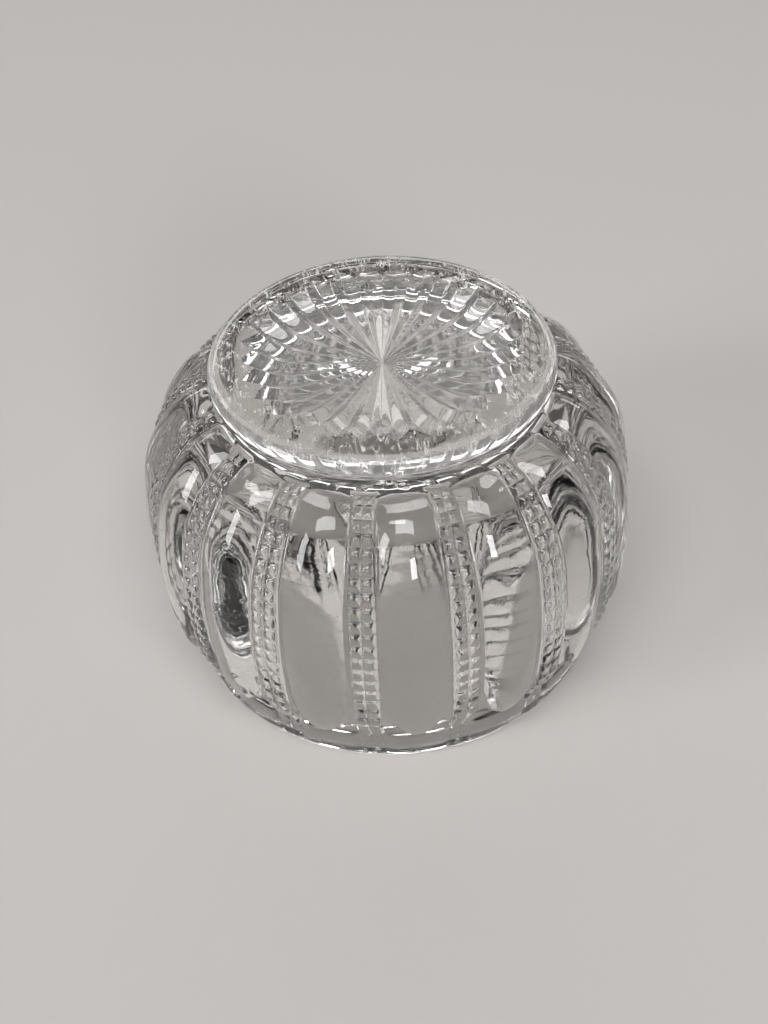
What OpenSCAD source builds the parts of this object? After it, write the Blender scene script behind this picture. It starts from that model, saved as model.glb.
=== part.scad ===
// Open salt cellar: one pressed-glass bowl, drawn mouth down with its foot on top.
// A round belly carries convex panels between bands of square beads.
// The bowl inside is plain and the foot has a many-rayed star pressed into it.

/* [Body] */
// Largest diameter, over the crests of the panels
belly_d = 76; // [60:1:90]
// Height over the rim and the foot
height = 52.6; // [46:0.2:64]
// Height of the widest place above the rim plane
belly_z = 24; // [21:0.5:27]
// Diameter of the shoulder where the panels begin, below the foot
shoulder_d = 50; // [46:0.5:52]

/* [Rim] */
// Diameter of the collar of the rim, under its blocks and beads
rim_d = 67.2; // [62:0.1:70]
// Height of the collar of the rim
rim_h = 6; // [4:0.25:7]
// Height of the plain blocks between the bands on the collar
block_h = 0.4; // [0.2:0.1:0.6]
// Width of the rounded edge at the lip
lip_r = 0.8; // [0.4:0.1:1.2]

/* [Foot] */
// Diameter of the foot ring
foot_d = 50.3; // [46:0.1:52]
// Height of the foot ring and its neck
foot_h = 5.6; // [4.4:0.2:6.4]
// Depth of the neck under the foot ring
neck_depth = 1.2; // [0.6:0.1:2]
// Radius of the rounded edge of the foot
foot_edge_r = 2.2; // [0.8:0.1:2.6]

/* [Bowl inside] */
// Thickness of the wall at the mouth
mouth_wall = 4.1; // [3:0.1:6]
// Thickness of the wall where it meets the corner of the floor, from the widest place
well_wall = 10; // [9:0.25:13]
// Radius of the corner between the wall and the floor
well_corner_r = 4.6; // [3:0.2:16]
// Thickness of glass between the floor and the foot
floor_t = 7.5; // [6:0.5:12]

/* [Panels and beads] */
// Number of panels, with a bead band between each two
panels = 16; // [12:1:20]
// Share of each sector that the bead band takes
band_share = 0.3; // [0.2:0.01:0.4]
// Share of each sector between a band and the panel beside it
border_share = 0.045; // [0.03:0.005:0.08]
// Height of the panels above their edges
panel_bulge = 1.1; // [0.5:0.1:1.6]
// Depth of the edges of the panels below the bands
panel_sink = 0.35; // [0.2:0.05:0.6]
// Height of the beads above the grooves
bead_h = 0.55; // [0.3:0.05:0.8]
// Pairs of bead rows along the belly
belly_row_pairs = 11; // [8:1:12]
// Rows of beads over the collar of the rim
rim_rows = 3; // [2:1:3]

/* [Star] */
// Number of rays in the star
star_rays = 28; // [20:2:36]
// Diameter over the points of the star
star_d = 41; // [36:0.5:42]
// Reach of each point past the ridges beside it
star_tip = 2.3; // [1.5:0.1:4]
// Length of the steep cap behind each point
star_cap = 1.5; // [1:0.1:2.5]
// Depth of each ray where its cap begins
star_cut = 1.1; // [0.6:0.1:1.6]
// Depth at the middle of the star
star_depth = 2.8; // [1.6:0.1:3.5]

/* [Hidden] */
$fn = 96;

// Overrun of the cuts past the faces that they open
overrun = 2;
// Depth to which the neck reaches into the body
neck_root = 3;
// Samples of the belly curve between two of its points
curve_steps = 8;
// Places across a panel
panel_steps = 6;

// The belly's groove radius leaves the panels their height
belly_r = belly_d / 2 - panel_bulge;
rim_r = rim_d / 2;
foot_r = foot_d / 2;
shoulder_r = shoulder_d / 2;
mouth_r = rim_r - mouth_wall;
well_r = belly_d / 2 - well_wall;
star_r = star_d / 2;
shoulder_z = height - foot_h;
well_z = height - floor_t;
belly_rows = 2 * belly_row_pairs;
sector = 360 / panels;

// The belly curve below and above its widest place, from there to its end: each
// point is a share of the way in height and a share of the way in radius.
lower_shares = [[0.39, 0.045], [0.56, 0.12], [0.67, 0.23], [0.78, 0.45], [0.89, 0.76], [1, 1]];
upper_shares = [[0.3, 0.05], [0.58, 0.17], [0.81, 0.44], [0.93, 0.69], [1, 1]];

// Points of the belly curve as [radius, height], from the shoulder to the collar
function upper_point(s) = [
    belly_r + (shoulder_r - belly_r) * s[1],
    belly_z + (shoulder_z - belly_z) * s[0]
];
function lower_point(s) = [
    belly_r + (rim_r - belly_r) * s[1],
    belly_z + (rim_h - belly_z) * s[0]
];
upper_count = len(upper_shares);
knots = concat(
    [for (i = [upper_count - 1:-1:0]) upper_point(upper_shares[i])],
    [[belly_r, belly_z]],
    [for (s = lower_shares) lower_point(s)]
);
last_knot = len(knots) - 1;

// Smooth curve through the knots, with a knot mirrored past each end
function knot(i) =
    i < 0 ? 2 * knots[0] - knots[1] :
    i > last_knot ? 2 * knots[last_knot] - knots[last_knot - 1] :
    knots[i];
function blend(a, b, c, d, t) =
    0.5 * (2 * b + (c - a) * t + (2 * a - 5 * b + 4 * c - d) * t * t + (3 * b - a - 3 * c + d) * t * t * t);
curve = [
    for (i = [0:last_knot * curve_steps])
        let (k = min(floor(i / curve_steps), last_knot - 1))
        blend(knot(k - 1), knot(k), knot(k + 1), knot(k + 2), i / curve_steps - k)
];

// The rows of beads keep their proportions, so their pitch follows the radius: the
// count of rows up to each sample grows with its length over its radius.
function row_sums(i, total) =
    i >= len(curve) - 1 ? [total] :
    concat(
        [total],
        row_sums(i + 1, total + 2 * norm(curve[i + 1] - curve[i]) / (curve[i + 1][0] + curve[i][0]))
    );
sums = row_sums(0, 0);
sum_end = sums[len(sums) - 1];
radius_table = [for (i = [0:len(curve) - 1]) [sums[i] / sum_end, curve[i][0]]];
height_table = [for (i = [0:len(curve) - 1]) [sums[i] / sum_end, curve[i][1]]];
function curve_at(s) = [lookup(s, radius_table), lookup(s, height_table)];
slope_share = 0.01;
function slope_at(s) =
    let (d = curve_at(min(s + slope_share, 1)) - curve_at(max(s - slope_share, 0)))
    [-d[1], d[0]] / norm(d);
function lifted(s, h) = curve_at(s) + h * slope_at(s);

// Profile of a band: the groove after each row as [radius, height], over the belly,
// over the collar of the rim and round the lip
rim_row_h = (rim_h - lip_r) / rim_rows;
band_line = concat(
    [for (j = [0:belly_rows]) curve_at(j / belly_rows)],
    [for (j = [1:rim_rows]) [rim_r, rim_h - j * rim_row_h]],
    [[rim_r - lip_r, 0]]
);
bead_rows = belly_rows + rim_rows;
function bead_peak(j) =
    j < belly_rows ? lifted((j + 0.5) / belly_rows, bead_h) :
    [rim_r + bead_h, rim_h - (j + 0.5 - belly_rows) * rim_row_h];

// Profile of a panel at u from -1 to 1 across it: a pillow whose lower end is a
// rounded arch, then the plain block of the collar. The arch takes a share of the
// panel's length and curves by a share of that, and the head starts at a share of
// the height.
arch_share = 0.3;
arch_round_share = 0.8;
head_share = 0.8;
head_rise_share = 0.3;
function arch(s, u) = min(1, max(0, (1 - s) / arch_share - arch_round_share * u * u));
function swell(s, u) =
    s == 0 || s == 1 ? 0 :
    (1 - u * u) * min(1, head_share + s / head_rise_share) * sqrt(arch(s, u) * (2 - arch(s, u)));
function panel_line(u) = concat(
    [
        for (i = [0:belly_row_pairs])
            let (s = i / belly_row_pairs)
            lifted(s, (panel_bulge + panel_sink) * swell(s, u) - panel_sink)
    ],
    [[rim_r + block_h, rim_h - block_h], [rim_r + block_h, lip_r], [rim_r - lip_r, 0]]
);
// The band row beside each point of a panel's line
panel_rows = concat(
    [for (i = [0:belly_row_pairs]) 2 * i],
    [belly_rows, bead_rows, bead_rows + 1]
);
panel_last = len(panel_rows) - 1;

// Angles across a sector, from the middle of its bead band
half_band = sector * band_share / 2;
panel_start = half_band + sector * border_share;
panel_span = sector - 2 * panel_start;
function turned(p, a) = [p[0] * cos(a), p[0] * sin(a), p[1]];

// Points of one sector: three groove lines, two columns of bead peaks, the panel
groove_count = bead_rows + 2;
groove_points = function(a0) [
    for (c = [-1:1], p = band_line) turned(p, a0 + c * half_band)
];
peak_points = function(a0) [
    for (c = [-0.5, 0.5], j = [0:bead_rows - 1]) turned(bead_peak(j), a0 + c * half_band)
];
panel_points = function(a0) [
    for (m = [0:panel_steps])
        let (u = 2 * m / panel_steps - 1)
        for (p = panel_line(u)) turned(p, a0 + panel_start + panel_span * m / panel_steps)
];
sector_size = 3 * groove_count + 2 * bead_rows + (panel_steps + 1) * (panel_last + 1);
function groove_at(k, c, j) = (k % panels) * sector_size + c * groove_count + j;
function peak_at(k, c, j) = k * sector_size + 3 * groove_count + c * bead_rows + j;
function panel_at(k, m, i) =
    k * sector_size + 3 * groove_count + 2 * bead_rows + m * (panel_last + 1) + i;

// Triangles between a groove line and the edge of a panel, whose rows are longer
function stitch(k, c, side, m, i, flip) =
    let (
        top = panel_rows[i],
        end = panel_rows[i + 1],
        low = panel_at(side, m, i + 1),
        fan = [for (j = [top:1:end - 1]) [groove_at(k, c, j), groove_at(k, c, j + 1), low]],
        last = [groove_at(k, c, top), low, panel_at(side, m, i)],
        all = concat(fan, [last])
    )
    flip ? [for (t = all) [t[0], t[2], t[1]]] : all;

function bead_faces(k, c, j) =
    let (
        a = groove_at(k, c, j),
        b = groove_at(k, c + 1, j),
        d = groove_at(k, c + 1, j + 1),
        e = groove_at(k, c, j + 1),
        p = peak_at(k, c, j)
    )
    [[a, b, p], [b, d, p], [d, e, p], [e, a, p]];

function quad_faces(a, b, c, d) = [[a, b, c], [a, c, d]];

module skin() {
    points = [
        for (k = [0:panels - 1])
            let (a0 = (k + 0.5) * sector)
            each concat(groove_points(a0), peak_points(a0), panel_points(a0))
    ];
    beads = [for (k = [0:panels - 1], c = [0:1], j = [0:bead_rows - 1]) each bead_faces(k, c, j)];
    lips = [
        for (k = [0:panels - 1], c = [0:1])
            each quad_faces(
                groove_at(k, c, bead_rows), groove_at(k, c + 1, bead_rows),
                groove_at(k, c + 1, bead_rows + 1), groove_at(k, c, bead_rows + 1)
            )
    ];
    pillows = [
        for (k = [0:panels - 1], m = [0:panel_steps - 1], i = [0:panel_last - 1])
            each quad_faces(
                panel_at(k, m, i), panel_at(k, m + 1, i),
                panel_at(k, m + 1, i + 1), panel_at(k, m, i + 1)
            )
    ];
    borders = [
        for (k = [0:panels - 1], i = [0:panel_last - 1])
            each concat(
                stitch(k, 2, k, 0, i, true),
                stitch(k + 1, 0, k, panel_steps, i, false)
            )
    ];
    top = [
        for (k = [0:panels - 1])
            each concat(
                [for (c = [0:2]) groove_at(k, c, 0)],
                [for (m = [0:panel_steps]) panel_at(k, m, 0)]
            )
    ];
    bottom = [
        for (k = [0:panels - 1])
            each concat(
                [for (c = [0:2]) groove_at(k, c, bead_rows + 1)],
                [for (m = [0:panel_steps]) panel_at(k, m, panel_last)]
            )
    ];
    ring = len(top);
    polyhedron(
        points = points,
        faces = concat(beads, lips, pillows, borders, [[for (i = [ring - 1:-1:0]) top[i]]], [bottom])
    );
}

// Foot ring with its rounded edge and the neck that joins it to the shoulder
module foot() {
    neck_r = foot_r - neck_depth;
    ring_z = height - foot_h / 2;
    rotate_extrude()
        difference() {
            union() {
                translate([0, shoulder_z - neck_root]) square([neck_r, neck_root + foot_h / 2]);
                translate([0, ring_z]) square([foot_r, foot_h / 2 - foot_edge_r]);
                translate([0, ring_z]) square([foot_r - foot_edge_r, foot_h / 2]);
                translate([foot_r - foot_edge_r, height - foot_edge_r]) circle(foot_edge_r);
            }
            translate([-overrun - foot_r, 0]) square([overrun + foot_r, height + overrun]);
        }
}

// Inside of the bowl: a tapered wall, a round corner and a plain floor
module bowl_inside() {
    corner_z = well_z - well_corner_r;
    rotate_extrude()
        union() {
            polygon([
                [0, -overrun],
                [mouth_r, -overrun],
                [mouth_r, 0],
                [well_r, corner_z],
                [well_r - well_corner_r, corner_z + well_corner_r],
                [0, corner_z + well_corner_r]
            ]);
            intersection() {
                translate([well_r - well_corner_r, corner_z]) circle(well_corner_r);
                translate([well_r - well_corner_r, corner_z]) square(well_corner_r);
            }
        }
}

// Star in the foot: rays with steep points whose sides meet along sharp ridges
ray_angle = 360 / star_rays;
ridge_r = star_r - star_tip;
cap_r = star_r - star_cap;
// The rings of the star and the steepness with which its dish falls from the points
ring_shares = [0.45, 0.7, 0.86, 1];
star_rings = len(ring_shares);
dish_power = 6;
function ridge_z(s) = -star_depth * (1 - pow(s, dish_power));
function valley_z(s) = ridge_z(s) - star_cut * s;
function valley_r(s) = ridge_r * s + (cap_r - ridge_r) * pow(s, dish_power);
function star_point(r, z, a) = [r * cos(a), r * sin(a), z];

module star() {
    ring_size = 2 * star_rays;
    points = concat(
        [for (s = ring_shares, i = [0:star_rays - 1])
            each [
                star_point(ridge_r * s, ridge_z(s), (i - 0.5) * ray_angle),
                star_point(valley_r(s), valley_z(s), i * ray_angle)
            ]
        ],
        [for (i = [0:star_rays - 1])
            each [
                star_point(ridge_r, overrun, (i - 0.5) * ray_angle),
                star_point(star_r, overrun, i * ray_angle)
            ]
        ],
        [for (i = [0:star_rays - 1]) star_point(star_r, 0, i * ray_angle)],
        [[0, 0, ridge_z(0)]]
    );
    rim_ring = (star_rings - 1) * ring_size;
    top_ring = star_rings * ring_size;
    tips = top_ring + ring_size;
    middle = tips + star_rays;
    function next(i) = (i + 1) % ring_size;
    slopes = [
        for (g = [0:star_rings - 2], i = [0:ring_size - 1])
            let (a = g * ring_size, b = a + ring_size)
            each quad_faces(a + next(i), a + i, b + i, b + next(i))
    ];
    centre = [for (i = [0:ring_size - 1]) [middle, i, next(i)]];
    points_of_rays = [
        for (i = [0:star_rays - 1])
            let (
                left = rim_ring + 2 * i,
                valley = left + 1,
                right = rim_ring + next(2 * i + 1),
                tip = tips + i
            )
            each [[valley, left, tip], [right, valley, tip]]
    ];
    walls = [
        for (i = [0:star_rays - 1])
            let (
                left = rim_ring + 2 * i,
                right = rim_ring + next(2 * i + 1),
                tip = tips + i,
                left_top = top_ring + 2 * i,
                tip_top = left_top + 1,
                right_top = top_ring + next(2 * i + 1)
            )
            each concat(
                quad_faces(tip, left, left_top, tip_top),
                quad_faces(right, tip, tip_top, right_top)
            )
    ];
    translate([0, 0, height])
        polyhedron(
            points = points,
            faces = concat(centre, slopes, points_of_rays, walls, [[for (i = [ring_size - 1:-1:0]) top_ring + i]])
        );
}

module salt_cellar() {
    color("gainsboro")
        difference() {
            union() {
                skin();
                foot();
            }
            bowl_inside();
            star();
        }
}

salt_cellar();
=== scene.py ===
"""Open salt cellar of clear pressed glass, standing mouth down with its foot on top."""

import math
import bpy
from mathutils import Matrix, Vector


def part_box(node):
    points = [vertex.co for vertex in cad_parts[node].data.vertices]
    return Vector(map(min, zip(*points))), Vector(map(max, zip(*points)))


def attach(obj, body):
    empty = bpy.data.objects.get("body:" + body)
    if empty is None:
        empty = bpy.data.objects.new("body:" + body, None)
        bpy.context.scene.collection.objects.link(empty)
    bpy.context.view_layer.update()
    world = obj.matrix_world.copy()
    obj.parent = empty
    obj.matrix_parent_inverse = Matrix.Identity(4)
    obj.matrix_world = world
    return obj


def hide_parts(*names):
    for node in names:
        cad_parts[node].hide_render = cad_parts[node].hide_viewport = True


bl_info = {
    "name": "Pressed Glass Salt Cellar",
    "version": (1, 0, 0),
    "blender": (4, 5, 0),
    "location": "View3D > Sidebar > Salt Cellar",
    "description": "Presses the glass of an open salt cellar and sets its stage",
    "category": "Object",
}

import bmesh
import bpy
import numpy as np
from bpy.props import (
    FloatProperty,
    FloatVectorProperty,
    IntProperty,
    PointerProperty,
)
from mathutils import Matrix, Vector

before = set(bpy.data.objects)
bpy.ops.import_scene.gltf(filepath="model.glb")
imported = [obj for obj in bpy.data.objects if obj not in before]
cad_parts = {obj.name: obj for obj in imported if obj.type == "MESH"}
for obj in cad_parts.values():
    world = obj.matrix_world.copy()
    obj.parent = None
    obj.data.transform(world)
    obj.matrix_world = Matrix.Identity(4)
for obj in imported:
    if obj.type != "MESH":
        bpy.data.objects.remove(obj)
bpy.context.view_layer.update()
GLASS_LOW, GLASS_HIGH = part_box("salt_cellar")

MM = 0.001


def linear(code):
    """An sRGB hex colour as the linear values that Blender works in."""
    parts = [int(code[i : i + 2], 16) / 255 for i in (1, 3, 5)]
    return tuple(c / 12.92 if c <= 0.04045 else ((c + 0.055) / 1.055) ** 2.4 for c in parts)


def length(name, description, default_mm):
    """A length property, its default given in millimetres."""
    return FloatProperty(
        name=name, description=description, default=default_mm * MM, unit="LENGTH", precision=5
    )


def angle(name, description, degrees):
    """An angle property, its default given in degrees."""
    return FloatProperty(
        name=name, description=description, default=math.radians(degrees), subtype="ANGLE"
    )


def colour(name, description, code):
    """A colour property, its default given as an sRGB hex colour."""
    return FloatVectorProperty(
        name=name, description=description, default=linear(code), subtype="COLOR"
    )


class CellarBody(bpy.types.PropertyGroup):
    """Plain shape of the cellar: belly, rim, foot and bowl."""

    belly_diameter: length("Belly", "Largest diameter, over the crests of the panels", 76)
    body_height: FloatProperty(
        name="Height", description="Height over the rim and the foot",
        default=GLASS_HIGH[2] - GLASS_LOW[2], unit="LENGTH", precision=5,
    )
    belly_height: length("Widest place", "Height of the widest place above the rim plane", 24)
    shoulder_diameter: length("Shoulder", "Diameter where the panels begin, under the foot", 50)
    rim_diameter: length("Rim", "Diameter of the collar of the rim, under its beads", 67.2)
    rim_height: length("Rim height", "Height of the collar of the rim", 6)
    block_height: length("Blocks", "Height of the plain blocks on the collar", 0.4)
    lip_radius: length("Lip", "Radius of the outer edge of the lip", 0.8)
    foot_diameter: length("Foot", "Diameter of the foot ring", 50.3)
    foot_height: length("Foot height", "Height of the foot ring and its neck", 5.6)
    neck_depth: length("Neck", "Depth of the neck under the foot ring", 1.2)
    foot_edge: length("Foot edge", "Radius of the rounded edge of the foot", 2.2)
    mouth_wall: length("Mouth wall", "Thickness of the wall at the mouth", 4.1)
    well_wall: length("Well wall", "Glass between the corner of the bowl and the widest place", 10)
    well_corner: length("Well corner", "Radius of the corner between wall and floor", 4.6)
    floor_thickness: length("Floor", "Glass between the floor of the bowl and the foot", 7.5)


class CellarOrnament(bpy.types.PropertyGroup):
    """Pressed ornament: panels, bands of beads and the star in the foot."""

    panels: IntProperty(name="Panels", description="Panels round the belly", default=16)
    bead_rows: IntProperty(name="Bead rows", description="Rows of beads down the belly", default=22)
    rim_rows: IntProperty(name="Rim rows", description="Rows of beads over the collar", default=3)
    panel_bulge: length("Panel bulge", "Height of the panels above the grooves", 1.1)
    panel_sink: length("Panel sink", "Depth of the edges of the panels below the grooves", 0.35)
    bead_height: length("Bead height", "Height of the beads above the grooves", 0.65)
    star_rays: IntProperty(
        name="Star rays", description="Rays of the star, 7 for every 4 panels", default=28
    )
    star_diameter: length("Star", "Diameter over the points of the star", 41)
    star_tip: length("Star points", "Reach of each point past the ridges beside it", 2.3)
    star_cap: length("Star caps", "Length of the steep cap behind each point", 1.5)
    star_cut: length("Ray depth", "Depth of each ray where its cap begins", 1.1)
    star_depth: length("Star depth", "Depth at the middle of the star", 2.8)


class CellarFinish(bpy.types.PropertyGroup):
    """Colours of the glass and of its wear. The worn colour also tints the whitish film in the
    star, which is partly dirt and partly painted reflection of bright light from above.
    """

    glass: colour("Glass", "Tint of the clear glass", "#F7F6F4")
    # Scratched foot, and the star's whitish film: partly dirt, partly painted reflection of light
    # from above
    worn_and_sheen: colour("Worn glass", "Colour of the scratched foot", "#E4E1DD")


class CellarStage(bpy.types.PropertyGroup):
    """Floor, light and camera."""

    floor: colour("Floor", "Colour of the floor", "#C4C0BD")
    surround: colour("Surround", "Colour of the room around the floor", "#545251")
    camera_distance: length("Camera distance", "From the camera to the cellar", 190.55)
    camera_aim: length("Camera aim", "Height on the axis that the view turns about", 26.62)
    camera_elevation: angle("Elevation", "Height of the camera above the horizon", 43.07)
    camera_turn: angle("Turn", "Turn of the camera about the axis", -4.05)
    camera_tilt: angle("Tilt", "Tilt of the view above the aim", -1.51)
    camera_pan: angle("Pan", "Pan of the view to the left of the aim", 0.266)
    camera_roll: angle("Roll", "Roll of the hand-held camera", -2.94)
    focal_length: FloatProperty(
        name="Lens", description="Focal length for a frame 36 mm high", default=42.486
    )


# Places across half a sector, as shares of the half panel from its crest and of the
# column of beads beside it. The latter also serve down each row of beads.
PANEL_STOPS = (0, 0.2, 0.4, 0.6, 0.78, 0.92, 1)
BEAD_STOPS = (0, 0.06, 0.2, 0.5, 0.8, 0.94, 1)
# Places across half a ray, from its valley to its ridge
RAY_STOPS = (0, 0.04, 0.12, 0.3, 0.5, 0.7, 0.88, 0.96, 1)
# The border between panel and beads adds one step to half a sector. A sector takes 28
# steps and a ray 16, so that 16 sectors and 28 rays both take 448.
STEPS_PER_SECTOR = 2 * (len(PANEL_STOPS) + len(BEAD_STOPS))
# Shares of a sector
BAND_SHARE = 0.24
BORDER_SHARE = 0.04

# The belly curve below and above its widest place: shares of the way in height and
# in radius to the collar and to the shoulder
LOWER_SHARES = ((0.39, 0.045), (0.56, 0.12), (0.67, 0.23), (0.78, 0.45), (0.89, 0.76), (1, 1))
UPPER_SHARES = ((0.3, 0.05), (0.58, 0.17), (0.81, 0.44), (0.93, 0.69), (1, 1))
# Reach of the rows from which the slope of the curve is taken
SLOPE_REACH = 0.01

# Rows of the star, as shares of the way to the ridges' ends, and rows of its caps
STAR_ROWS = (0, 0.03, 0.08, 0.16, 0.26, 0.37, 0.48, 0.58, 0.67, 0.75, 0.82, 0.88, 0.935, 0.975, 1)
CAP_ROWS = (0.08, 0.5, 0.92, 1)
# The star is a dish that stays deep and rises late, and its ridges are a little soft
DISH_POWER = 6
RIDGE_SOFT = 0.06
# Flat foot kept round the points, following them and as a plain ring
POINT_MARGIN = 0.15 * MM
RING_MARGIN = 0.6 * MM
# The foot ring takes this share of the height of foot and neck
RING_SHARE = 0.5
# Under the ring and over the shoulder: shares of the way out and of the way up
NECK_ROWS = ((1, 0.372), (0.97, 0.18), (0.82, 0.048), (0.5, -0.048), (0.18, -0.12), (0, -0.252))
SHOULDER_ROWS = ((0, 0.3), (0.2, 0.12), (0.6, 0.03))
# Rows of a bead on the collar, of the wall inside from the mouth up, and of the floor
RIM_BEAD_ROWS = (0.1, 0.35, 0.65, 0.9, 1)
WALL_ROWS = (0.12, 0.28, 0.45, 0.62, 0.8)
FLOOR_ROWS = (0.7, 0.4, 0.15, 0)
# Radius of the inner edge of the lip
MOUTH_ROUND = 0.6 * MM
# Vertices nearer than this are one
WELD = 1e-7

# Section of a bead: the powers that keep it round on top and steep at its edges
DOME_POWERS = (2.2, 0.6)
# Height of the beads on the collar, as a share of the others
RIM_BEAD_SHARE = 0.6
# How square the plain blocks of the collar are, across and along
BLOCK_POWERS = (8, 6)
# Lower end of a panel, as shares of its length: where the arch begins, how far it is
# drawn in at its sides, and how gently it rises
ARCH_SHARE, ARCH_ROUND, ARCH_RISE = 0.3, 0.8, 0.28
# Upper end: length of the squared head, how it is rounded at its corners, and the height
# and length of the slope behind it
HEAD_SHARE, HEAD_ROUND, HEAD_POWER = 0.03, 0.6, 6
SLOPE_START, SLOPE_SHARE = 0.8, 0.3


def belly_curve(body, groove_r, samples=24):
    """Smooth line of the grooves as radius and height, with its share of bead rows."""
    shoulder = (body.shoulder_diameter / 2, body.body_height - body.foot_height)
    middle = (groove_r, body.belly_height)
    rim = (body.rim_diameter / 2, body.rim_height)
    ways = [(shoulder, up, out) for up, out in reversed(UPPER_SHARES)]
    ways += [(middle, 0, 0)] + [(rim, up, out) for up, out in LOWER_SHARES]
    k = np.array([
        (middle[0] + (end[0] - middle[0]) * out, middle[1] + (end[1] - middle[1]) * up)
        for end, up, out in ways
    ])
    k = np.vstack([2 * k[0] - k[1], k, 2 * k[-1] - k[-2]])
    points = []
    for a, b, c, d in zip(k[:-3], k[1:-2], k[2:-1], k[3:]):
        for t in np.arange(samples) / samples:
            square = (2 * a - 5 * b + 4 * c - d) * t**2
            cube = (3 * b - a - 3 * c + d) * t**3
            points.append(0.5 * (2 * b + (c - a) * t + square + cube))
    points.append(k[-2])
    curve = np.array(points)
    step = np.linalg.norm(np.diff(curve, axis=0), axis=1)
    # The pitch of the rows follows the radius
    count = np.concatenate([[0], np.cumsum(2 * step / (curve[1:, 0] + curve[:-1, 0]))])
    return curve, count / count[-1]


def dome(t):
    """Height of a bead across it, t from -1 to 1."""
    inner, outer = DOME_POWERS
    return (1 - np.abs(t) ** inner) ** outer


def soft_v(t):
    """A straight slope from 0 at a valley to 1 at a ridge, rounded at both."""

    def bowl(x):
        rounded = np.sqrt(x * x + RIDGE_SOFT * RIDGE_SOFT) - RIDGE_SOFT
        return rounded / (math.hypot(1, RIDGE_SOFT) - RIDGE_SOFT)

    return bowl(t) * (1 - t) + (1 - bowl(1 - t)) * t


def quarter_round(steps):
    """Sine and cosine at each step of a quarter turn."""
    turns = [math.pi / 2 * i / steps for i in range(steps + 1)]
    return [(math.sin(a), math.cos(a)) for a in turns]


def cellar_profile(body, orn):
    """The rows as (zone, share, radius, height), from the star to the floor of the bowl."""
    rows = []

    def plain(radius, height):
        rows.append(("plain", 0, radius, height))

    # Star: rings from the middle out, then the steep caps up to the foot
    top = body.body_height
    star_r = orn.star_diameter / 2
    ridge_r = star_r - orn.star_tip
    for s in STAR_ROWS:
        rows.append(("star", s, ridge_r * s, top - orn.star_depth * (1 - s**DISH_POWER)))
    for s in CAP_ROWS:
        rows.append(("cap", s, ridge_r + orn.star_tip * s, top))
    rows.append(("outline", 1, star_r + POINT_MARGIN, top))
    plain(star_r + RING_MARGIN, top)

    # Rounded edge of the foot ring, its side and the neck below it
    foot_r, edge = body.foot_diameter / 2, body.foot_edge
    for sine, cosine in quarter_round(7):
        plain(foot_r - edge + edge * sine, top - edge + edge * cosine)
    neck_r = foot_r - body.neck_depth
    shoulder_r = body.shoulder_diameter / 2
    shoulder_z = top - body.foot_height
    ring_low = top - body.foot_height * RING_SHARE
    under = ring_low - shoulder_z
    for out, up in NECK_ROWS:
        plain(neck_r + body.neck_depth * out, ring_low + under * up)
    for out, up in SHOULDER_ROWS:
        plain(neck_r + (shoulder_r - neck_r) * out, shoulder_z + under * up)

    # Belly, bead row by bead row, then the collar of the rim. Both get their places in
    # relief().
    for j in range(orn.bead_rows):
        for b in BEAD_STOPS[:-1]:
            rows.append(("belly", (j + b) / orn.bead_rows, 0, 0))
    rows.append(("belly", 1, 0, 0))
    for j in range(orn.rim_rows):
        for b in RIM_BEAD_ROWS:
            rows.append(("collar", (j + b) / orn.rim_rows, 0, 0))

    # Lip, then the inside from the mouth to the middle of the floor
    rim_r, lip = body.rim_diameter / 2, body.lip_radius
    for sine, cosine in quarter_round(5)[1:]:
        plain(rim_r - lip + lip * cosine, lip - lip * sine)
    mouth_r = rim_r - body.mouth_wall
    for sine, cosine in quarter_round(3):
        plain(mouth_r + MOUTH_ROUND - MOUTH_ROUND * sine, MOUTH_ROUND - MOUTH_ROUND * cosine)
    well_r, corner = body.belly_diameter / 2 - body.well_wall, body.well_corner
    corner_z = top - body.floor_thickness - corner
    for t in WALL_ROWS:
        plain(mouth_r + (well_r - mouth_r) * t, MOUTH_ROUND + (corner_z - MOUTH_ROUND) * t)
    for sine, cosine in quarter_round(10):
        plain(well_r - corner + corner * cosine, corner_z + corner * sine)
    for t in FLOOR_ROWS:
        plain((well_r - corner) * t, corner_z + corner)
    return rows


def panel_height(orn, s, u):
    """Height of a panel above the grooves: a pillow with a squared top and an arched end."""
    arch = np.clip(((1 - s) / ARCH_SHARE - ARCH_ROUND * u * u) / ARCH_RISE, 0, 1)
    head = np.clip(s / HEAD_SHARE - HEAD_ROUND * np.abs(u) ** HEAD_POWER, 0, 1)
    rise = np.clip(SLOPE_START + s / SLOPE_SHARE, 0, 1)
    swell = (1 - u * u) * rise * arch * (2 - arch) * np.sqrt(head)
    return (orn.panel_bulge + orn.panel_sink) * swell - orn.panel_sink


def places_round(half, step, count):
    """Place of each step in its sector or ray, and its angle, from the stops of half of one."""
    stops = np.array(half + [1 - x for x in half[-2::-1]])
    per_part = len(stops) - 1
    place = stops[step % per_part]
    return place, 2 * math.pi / count * (step // per_part + place)


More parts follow.
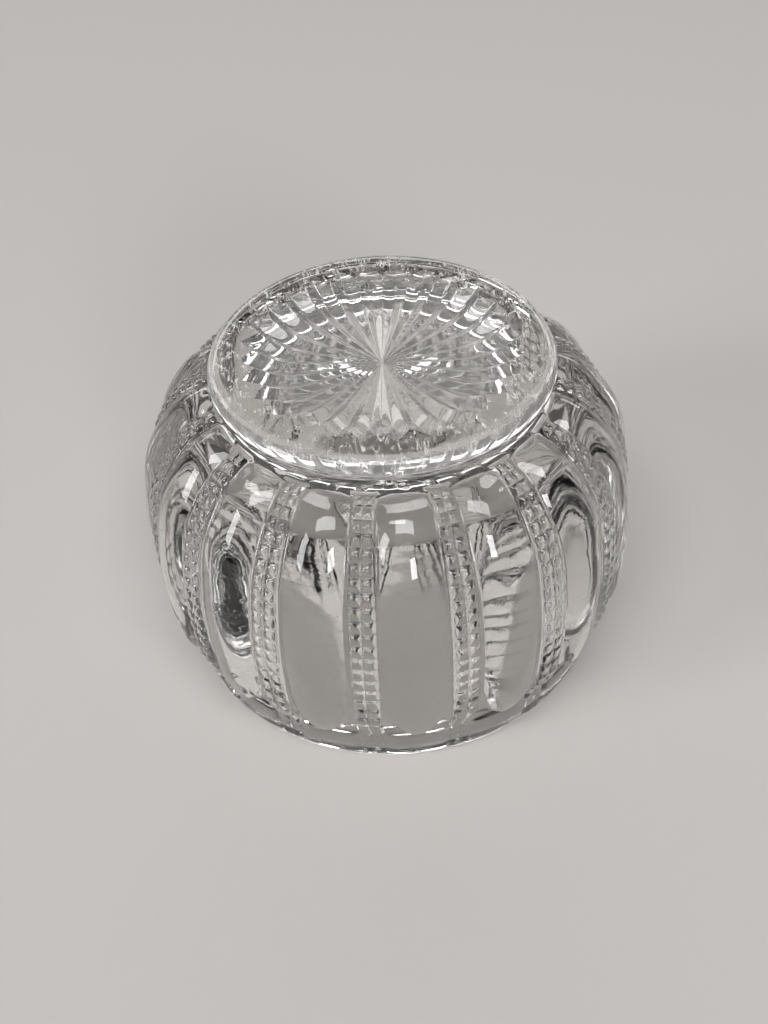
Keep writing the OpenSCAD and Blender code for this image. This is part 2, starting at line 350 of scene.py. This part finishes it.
def relief(body, orn, rows, row, step, steps):
    """Radius, height and angle of each vertex from its row and step."""
    zone, share, r, z = (np.array(column)[row] for column in zip(*rows))

    # Star: every ray is a valley between two ridges, and ends in a steep point
    ray_place, ray_angle = places_round([0.5 * t for t in RAY_STOPS], step, orn.star_rays)
    lie = 2 * np.minimum(ray_place, 1 - ray_place)
    cut = orn.star_cut * (1 - soft_v(lie))
    ridge_r = orn.star_diameter / 2 - orn.star_tip
    point_r = ridge_r + orn.star_tip * (1 - lie)
    cap_r = ridge_r + (orn.star_tip - orn.star_cap) * (1 - lie)
    in_star, in_cap, in_outline = zone == "star", zone == "cap", zone == "outline"
    r = np.where(in_star, r + (cap_r - ridge_r) * share**DISH_POWER, r)
    z = np.where(in_star, z - cut * share, z)
    r = np.where(in_cap, cap_r + (point_r - cap_r) * share, r)
    z = np.where(in_cap, z - cut * (1 - share), z)
    r = np.where(in_outline, point_r + POINT_MARGIN, r)
    turn = np.where(in_star | in_cap | in_outline, ray_angle, 2 * math.pi * step / steps)

    # Sectors: half a panel, the border and a column of beads, and the same mirrored
    edge = 0.5 - BAND_SHARE / 2
    crest = edge - BORDER_SHARE
    half = [crest * u for u in PANEL_STOPS] + [(crest + edge) / 2]
    half += [edge + BAND_SHARE / 2 * b for b in BEAD_STOPS]
    place, sector_angle = places_round(half, step, orn.panels)
    x = np.minimum(place, 1 - place)
    u = np.clip(x / crest, 0, 1)
    across = np.clip((x - edge) / (0.5 - edge), 0, 1) * 2 - 1
    border = np.clip((x - crest) / (edge - crest), 0, 1)
    on_beads, on_border = x >= edge, x > crest

    # Belly: the relief stands square on the line of the grooves
    curve, count = belly_curve(body, body.belly_diameter / 2 - orn.panel_bulge)
    base_r, base_z = (np.interp(share, count, line) for line in curve.T)
    ahead = np.minimum(share + SLOPE_REACH, 1)
    behind = np.maximum(share - SLOPE_REACH, 0)
    dr, dz = (np.interp(ahead, count, line) - np.interp(behind, count, line) for line in curve.T)
    size = np.hypot(dr, dz)
    along = share * orn.bead_rows % 1 * 2 - 1
    bead = orn.bead_height * dome(across) * dome(along)
    sunk = -orn.panel_sink * (1 - border)
    height = np.where(on_beads, bead, np.where(on_border, sunk, panel_height(orn, share, u)))
    in_belly = zone == "belly"
    r = np.where(in_belly, base_r - height * dz / size, r)
    z = np.where(in_belly, base_z + height * dr / size, z)

    # Collar of the rim: a plain block under each panel, and lower beads
    in_collar = zone == "collar"
    along = share * orn.rim_rows % 1 * 2 - 1
    bead = orn.bead_height * RIM_BEAD_SHARE * dome(across) * dome(along)
    square_u, square_s = BLOCK_POWERS
    block = (1 - u**square_u) * (1 - np.abs(2 * share - 1) ** square_s)
    block = body.block_height * np.clip(block, 0, 1)
    height = np.where(on_beads, bead, np.where(on_border, 0, block))
    r = np.where(in_collar, body.rim_diameter / 2 + height, r)
    z = np.where(in_collar, body.rim_height - (body.rim_height - body.lip_radius) * share, z)
    return r, z, np.where(in_belly | in_collar, sector_angle, turn)


def press_glass(body, orn):
    """The glass as one closed mesh, spun from its profile and then shaped row by row."""
    rows = cellar_profile(body, orn)
    steps = STEPS_PER_SECTOR * orn.panels
    bm = bmesh.new()
    row_of = bm.verts.layers.int.new("row")
    # A stand-in line from axis to axis keeps the rows apart until each is put in its place
    start, apart = 20 * MM, 0.1 * MM
    line = []
    for i in range(len(rows)):
        on_axis = i in (0, len(rows) - 1)
        v = bm.verts.new((0 if on_axis else start + apart * i, 0, -apart * i))
        v[row_of] = i
        line.append(v)
    edges = [bm.edges.new(pair) for pair in zip(line[:-1], line[1:])]
    bmesh.ops.spin(
        bm, geom=line + edges, cent=(0, 0, 0), axis=(0, 0, 1), angle=2 * math.pi,
        steps=steps, use_merge=True,
    )
    bm.verts.index_update()
    co = np.array([v.co for v in bm.verts])
    row = np.array([v[row_of] for v in bm.verts])
    step = np.round(np.arctan2(co[:, 1], co[:, 0]) / (2 * math.pi) * steps).astype(int) % steps
    r, z, turn = relief(body, orn, rows, row, step, steps)
    for v, x, y, h in zip(bm.verts, r * np.cos(turn), r * np.sin(turn), z):
        v.co = (x, y, h)
    bmesh.ops.remove_doubles(bm, verts=bm.verts, dist=WELD)
    bmesh.ops.dissolve_degenerate(bm, edges=bm.edges, dist=WELD)
    bmesh.ops.recalc_face_normals(bm, faces=bm.faces)
    bm.verts.layers.int.remove(bm.verts.layers.int["row"])
    for face in bm.faces:
        face.smooth = True
    mesh = bpy.data.meshes.new("salt_cellar_glass")
    bm.to_mesh(mesh)
    bm.free()
    return mesh


def add_node(tree, kind, settings=None, inputs=None):
    """Adds a node, sets its own settings, and fills or links its inputs by name."""
    node = tree.nodes.new(kind)
    for key, value in (settings or {}).items():
        setattr(node, key, value)
    for key, value in (inputs or {}).items():
        if isinstance(value, bpy.types.NodeSocket):
            tree.links.new(value, node.inputs[key])
        else:
            node.inputs[key].default_value = value
    return node


# Scratches: gap, length and depth of the cells of their noise. Each set lies its own way,
# given as an angle and a start in the noise.
SCRATCH_CELL = (0.9 * MM, 7 * MM, 2 * MM)
SCRATCH_SETS = ((0.35, 1.7), (1.25, 5.1), (2.4, 9.6))
# Size of the patches that break up the wear, and gap between the bruises
PATCH_SIZE = 2.2 * MM
BRUISE_GAP = 0.75 * MM
# The star lies within this share of the glass over the bowl
STAR_SHARE = 0.65
# Length and height of the mould's slow ripple, cell and height of the finer crinkle that
# the chill of the iron leaves, and depth of the scratches
RIPPLE_LENGTH, RIPPLE_HEIGHT = 7 * MM, 0.12 * MM
CRINKLE_CELL, CRINKLE_HEIGHT = (3 * MM, 3 * MM, 1.2 * MM), 0.02 * MM
DENT_DEPTH = 0.03 * MM


def scratch_lines(tree, place, turn, start):
    """Thin lines that all lie nearly one way."""
    lie = add_node(
        tree, "ShaderNodeMapping", {},
        {
            "Vector": place, "Location": (start, start, start), "Rotation": (0, 0, turn),
            "Scale": [1 / size for size in SCRATCH_CELL],
        },
    )
    field = add_node(
        tree, "ShaderNodeTexNoise", {"noise_dimensions": "3D"},
        {"Vector": lie.outputs["Vector"], "Scale": 1.0, "Detail": 1.0},
    )
    # Only the narrow band where the field crosses its middle is a line
    off = add_node(
        tree, "ShaderNodeMath", {"operation": "SUBTRACT"}, {0: field.outputs["Fac"], 1: 0.5}
    )
    size = add_node(tree, "ShaderNodeMath", {"operation": "ABSOLUTE"}, {0: off.outputs[0]})
    line = add_node(
        tree, "ShaderNodeMapRange", {},
        {
            "Value": size.outputs[0], "From Min": 0.014, "From Max": 0.003,
            "To Min": 0.0, "To Max": 1.0,
        },
    )
    return line.outputs["Result"]


def foot_wear(tree, place, radius, height, patches, body):
    """Scratches and bruises of the foot on which the cellar stands in use."""
    # Full on the flat ring and fading down the rounded edge. The rest, also the sunk
    # star, carries a few stray scratches.
    top = body.body_height
    edge_in = body.foot_diameter / 2 - body.foot_edge
    reach = add_node(
        tree, "ShaderNodeMapRange", {},
        {
            "Value": radius, "From Min": edge_in - 1 * MM, "From Max": edge_in,
            "To Min": top - 0.15 * MM, "To Max": top - 1.2 * MM,
        },
    ).outputs["Result"]
    foot = add_node(
        tree, "ShaderNodeMapRange", {},
        {
            "Value": height, "From Min": reach, "From Max": top - 0.02 * MM,
            "To Min": 0.04, "To Max": 1.0,
        },
    ).outputs["Result"]
    broken = add_node(
        tree, "ShaderNodeMapRange", {},
        {"Value": patches, "From Min": 0.47, "From Max": 0.56, "To Min": 0.0, "To Max": 1.0},
    ).outputs["Result"]

    # Bruises: small frosted specks about 0.2 mm across
    bruise = add_node(
        tree, "ShaderNodeTexVoronoi", {"voronoi_dimensions": "3D"},
        {"Vector": place, "Scale": 1 / BRUISE_GAP, "Randomness": 1.0},
    ).outputs["Distance"]
    marks = add_node(
        tree, "ShaderNodeMapRange", {},
        {"Value": bruise, "From Min": 0.24, "From Max": 0.14, "To Min": 0.0, "To Max": 0.8},
    ).outputs["Result"]
    # Real scratches are a few hundredths of a millimetre wide. They are drawn about
    # 0.15 mm wide, as coarse as they need to be to show.
    for turn, start in SCRATCH_SETS:
        lines = scratch_lines(tree, place, turn, start)
        marks = add_node(
            tree, "ShaderNodeMath", {"operation": "MAXIMUM"}, {0: marks, 1: lines}
        ).outputs[0]
    for limit in (broken, foot):
        marks = add_node(
            tree, "ShaderNodeMath", {"operation": "MULTIPLY"}, {0: marks, 1: limit}
        ).outputs[0]
    return marks


def foot_haze_and_sheen(tree, radius, height, patches, body):
    """Haze where the edge of the foot is rubbed dull, and a whitish film in the star that is partly
    dirt and partly painted reflection of bright light from above.
    """
    top = body.body_height
    edge_in = body.foot_diameter / 2 - body.foot_edge
    star_low = top - body.floor_thickness * STAR_SHARE
    # Each limit is a value, where the haze begins and is full along it, and how full
    rubbed = (
        (radius, edge_in - 0.4 * MM, edge_in + 1.2 * MM, 0.32),
        (height, top - 4 * MM, top - 1.5 * MM, 1.0),
    )
    # Whitish film in the star: partly dirt, partly painted reflection of the bright light from
    # above
    star_dirt_and_sheen = (
        (radius, edge_in - 1.6 * MM, edge_in - 2.8 * MM, 0.22),
        (height, star_low, star_low + 0.3 * MM, 1.0),
        (height, top - 0.02 * MM, top - 0.3 * MM, 1.0),
    )
    hazes = []
    for limits in (rubbed, star_dirt_and_sheen):
        haze_and_sheen = None
        for value, start, end, most in limits:
            part = add_node(
                tree, "ShaderNodeMapRange", {},
                {"Value": value, "From Min": start, "From Max": end, "To Min": 0.0, "To Max": most},
            ).outputs["Result"]
            haze_and_sheen = part if haze_and_sheen is None else add_node(
                tree, "ShaderNodeMath", {"operation": "MULTIPLY"}, {0: haze_and_sheen, 1: part}
            ).outputs[0]
        hazes.append(haze_and_sheen)
    haze_and_sheen = add_node(
        tree, "ShaderNodeMath", {"operation": "MAXIMUM"}, {0: hazes[0], 1: hazes[1]}
    ).outputs[0]
    uneven = add_node(
        tree, "ShaderNodeMapRange", {},
        {"Value": patches, "From Min": 0.3, "From Max": 0.7, "To Min": 0.55, "To Max": 1.25},
    ).outputs["Result"]
    return add_node(
        tree, "ShaderNodeMath", {"operation": "MULTIPLY"}, {0: haze_and_sheen, 1: uneven}
    ).outputs[0]


def glass_skin(tree, place, wear):
    """Normal of the skin: the mould's ripple, the crinkle of the chill and the scratches."""
    ripple = add_node(
        tree, "ShaderNodeTexNoise", {"noise_dimensions": "3D"},
        {"Vector": place, "Scale": 1 / RIPPLE_LENGTH, "Detail": 2.0, "Roughness": 0.45},
    )
    wave = add_node(
        tree, "ShaderNodeBump", {},
        {"Height": ripple.outputs["Fac"], "Strength": 0.5, "Distance": RIPPLE_HEIGHT},
    )
    squat = add_node(
        tree, "ShaderNodeMapping", {},
        {"Vector": place, "Scale": [1 / size for size in CRINKLE_CELL]},
    )
    crinkle = add_node(
        tree, "ShaderNodeTexNoise", {"noise_dimensions": "3D"},
        {"Vector": squat.outputs["Vector"], "Scale": 1.0, "Detail": 1.0},
    )
    chill = add_node(
        tree, "ShaderNodeBump", {},
        {
            "Height": crinkle.outputs["Fac"], "Strength": 0.4, "Distance": CRINKLE_HEIGHT,
            "Normal": wave.outputs["Normal"],
        },
    )
    dents = add_node(
        tree, "ShaderNodeBump", {"invert": True},
        {
            "Height": wear, "Strength": 0.5, "Distance": DENT_DEPTH,
            "Normal": chill.outputs["Normal"],
        },
    )
    return dents.outputs["Normal"]


def pressed_glass(finish, body):
    """Pressed soda-lime glass, fire-polished: clear, faintly wavy, worn on its foot, with a whitish
    film in its star that is partly dirt and partly painted reflection.
    """
    mat = bpy.data.materials.new("pressed_soda_lime_glass")
    mat.use_nodes = True
    tree = mat.node_tree
    tree.nodes.clear()
    place = add_node(tree, "ShaderNodeTexCoord").outputs["Object"]
    height = add_node(tree, "ShaderNodeSeparateXYZ", {}, {"Vector": place}).outputs["Z"]
    flat = add_node(
        tree, "ShaderNodeVectorMath", {"operation": "MULTIPLY"}, {0: place, 1: (1, 1, 0)}
    ).outputs["Vector"]
    radius = add_node(
        tree, "ShaderNodeVectorMath", {"operation": "LENGTH"}, {0: flat}
    ).outputs["Value"]
    patches = add_node(
        tree, "ShaderNodeTexNoise", {"noise_dimensions": "3D"},
        {"Vector": place, "Scale": 1 / PATCH_SIZE, "Detail": 3.0, "Roughness": 0.65},
    ).outputs["Fac"]
    wear = foot_wear(tree, place, radius, height, patches, body)
    # The haze holds the rubbed edge of the foot and the star's whitish film, partly dirt and partly
    # painted reflection of bright light from above
    haze_and_sheen = foot_haze_and_sheen(tree, radius, height, patches, body)
    veil = add_node(
        tree, "ShaderNodeMath", {"operation": "MAXIMUM"}, {0: wear, 1: haze_and_sheen}
    ).outputs[0]
    # Inputs 6 and 7 and output 2 of this node are its colours
    tint = add_node(
        tree, "ShaderNodeMix", {"data_type": "RGBA"},
        {"Factor": veil, 6: (*finish.glass, 1), 7: (*finish.worn_and_sheen, 1)},
    ).outputs[2]
    rough = add_node(
        tree, "ShaderNodeMapRange", {},
        {"Value": wear, "From Min": 0.0, "From Max": 1.0, "To Min": 0.015, "To Max": 0.5},
    ).outputs["Result"]
    clear = add_node(
        tree, "ShaderNodeMapRange", {},
        {"Value": veil, "From Min": 0.0, "From Max": 1.0, "To Min": 1.0, "To Max": 0.2},
    ).outputs["Result"]
    shader = add_node(
        tree, "ShaderNodeBsdfPrincipled", {},
        {
            "Base Color": tint,
            "Roughness": rough,
            "IOR": 1.52,
            "Transmission Weight": clear,
            "Normal": glass_skin(tree, place, wear),
        },
    )
    add_node(tree, "ShaderNodeOutputMaterial", {}, {"Surface": shader.outputs["BSDF"]})
    return mat


def plain_floor(stage):
    """Matt painted board under the cellar."""
    mat = bpy.data.materials.new("matt_painted_board")
    mat.use_nodes = True
    tree = mat.node_tree
    tree.nodes.clear()
    shader = add_node(
        tree, "ShaderNodeBsdfPrincipled", {},
        {"Base Color": (*stage.floor, 1), "Roughness": 0.8},
    )
    add_node(tree, "ShaderNodeOutputMaterial", {}, {"Surface": shader.outputs["BSDF"]})
    return mat


# Radius of the floor in metres, and how far it lies under the lip, so that glass and
# floor share no face
FLOOR_RADIUS = 4
FLOOR_GAP = 0.03 * MM
# Soft lamps: name, place in metres, width and height in metres, and watts
LAMPS = (
    ("overhead", (-0.1, -0.85, 1.75), (1.9, 0.6), 29.0),
    ("side", (-2.4, -0.9, 1.0), (0.8, 1.2), 28.0),
    ("window", (0.5, -2.6, 1.1), (0.7, 0.6), 20.0),
    ("back", (0.2, 3.0, 1.2), (5.6, 0.7), 36.0),
)
# Nearest that the camera sees, well in front of the cellar
CLIP_START = 10 * MM


class CELLAR_OT_press_glass(bpy.types.Operator):
    """Press the glass of the cellar and give it its finish"""

    bl_idname = "cellar.press_glass"
    bl_label = "Press the Glass"

    def execute(self, context):
        scene = context.scene
        mesh = press_glass(scene.cellar_body, scene.cellar_ornament)
        glass = bpy.data.objects.new("salt_cellar_glass", mesh)
        scene.collection.objects.link(glass)
        mesh.materials.append(pressed_glass(scene.cellar_finish, scene.cellar_body))
        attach(glass, "root")
        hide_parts("salt_cellar")
        return {"FINISHED"}


class CELLAR_OT_set_stage(bpy.types.Operator):
    """Lay the floor, hang the soft lights and aim the camera"""

    bl_idname = "cellar.set_stage"
    bl_label = "Set the Stage"

    def execute(self, context):
        scene = context.scene
        stage = scene.cellar_stage
        bm = bmesh.new()
        bmesh.ops.create_circle(bm, cap_ends=True, radius=FLOOR_RADIUS, segments=96)
        mesh = bpy.data.meshes.new("floor")
        bm.to_mesh(mesh)
        bm.free()
        floor = bpy.data.objects.new("floor", mesh)
        floor.location = (0, 0, -FLOOR_GAP)
        scene.collection.objects.link(floor)
        mesh.materials.append(plain_floor(stage))

        world = bpy.data.worlds.new("room")
        scene.world = world
        world.use_nodes = True
        background = world.node_tree.nodes["Background"]
        background.inputs["Color"].default_value = (*stage.surround, 1)
        background.inputs["Strength"].default_value = 1.0

        for name, place, size, power in LAMPS:
            lamp = bpy.data.lights.new(name, "AREA")
            lamp.shape = "RECTANGLE"
            lamp.size, lamp.size_y = size
            lamp.energy = power
            holder = bpy.data.objects.new(name, lamp)
            scene.collection.objects.link(holder)
            holder.location = place
            aim = Vector((0, 0, stage.camera_aim)) - Vector(place)
            holder.rotation_euler = aim.to_track_quat("-Z", "Y").to_euler()

        lens = bpy.data.cameras.new("camera")
        lens.lens = stage.focal_length
        lens.clip_start = CLIP_START
        camera = bpy.data.objects.new("camera", lens)
        scene.collection.objects.link(camera)
        camera.matrix_world = (
            Matrix.Translation((0, 0, stage.camera_aim))
            @ Matrix.Rotation(stage.camera_turn, 4, "Z")
            @ Matrix.Rotation(math.pi / 2 - stage.camera_elevation, 4, "X")
            @ Matrix.Translation((0, 0, stage.camera_distance))
            @ Matrix.Rotation(stage.camera_tilt, 4, "X")
            @ Matrix.Rotation(stage.camera_pan, 4, "Y")
            @ Matrix.Rotation(stage.camera_roll, 4, "Z")
        )
        scene.camera = camera
        scene.view_settings.view_transform = "Standard"
        return {"FINISHED"}


class CELLAR_PT_panel(bpy.types.Panel):
    """Sizes, colours and steps of the salt cellar"""

    bl_label = "Salt Cellar"
    bl_space_type = "VIEW_3D"
    bl_region_type = "UI"
    bl_category = "Salt Cellar"

    def draw(self, context):
        for group, place in GROUPS.items():
            box = self.layout.box()
            box.label(text=group.__doc__)
            for name in group.__annotations__:
                box.prop(getattr(context.scene, place), name)
        for operator in OPERATORS:
            self.layout.operator(operator.bl_idname)


GROUPS = {
    CellarBody: "cellar_body",
    CellarOrnament: "cellar_ornament",
    CellarFinish: "cellar_finish",
    CellarStage: "cellar_stage",
}
OPERATORS = (CELLAR_OT_press_glass, CELLAR_OT_set_stage)


def register():
    for cls in (*GROUPS, *OPERATORS, CELLAR_PT_panel):
        bpy.utils.register_class(cls)
    for group, name in GROUPS.items():
        setattr(bpy.types.Scene, name, PointerProperty(type=group))


def unregister():
    for name in GROUPS.values():
        delattr(bpy.types.Scene, name)
    for cls in (CELLAR_PT_panel, *reversed(OPERATORS), *reversed(GROUPS)):
        bpy.utils.unregister_class(cls)


def main():
    register()
    bpy.ops.cellar.press_glass()
    bpy.ops.cellar.set_stage()


if __name__ == "__main__":
    main()
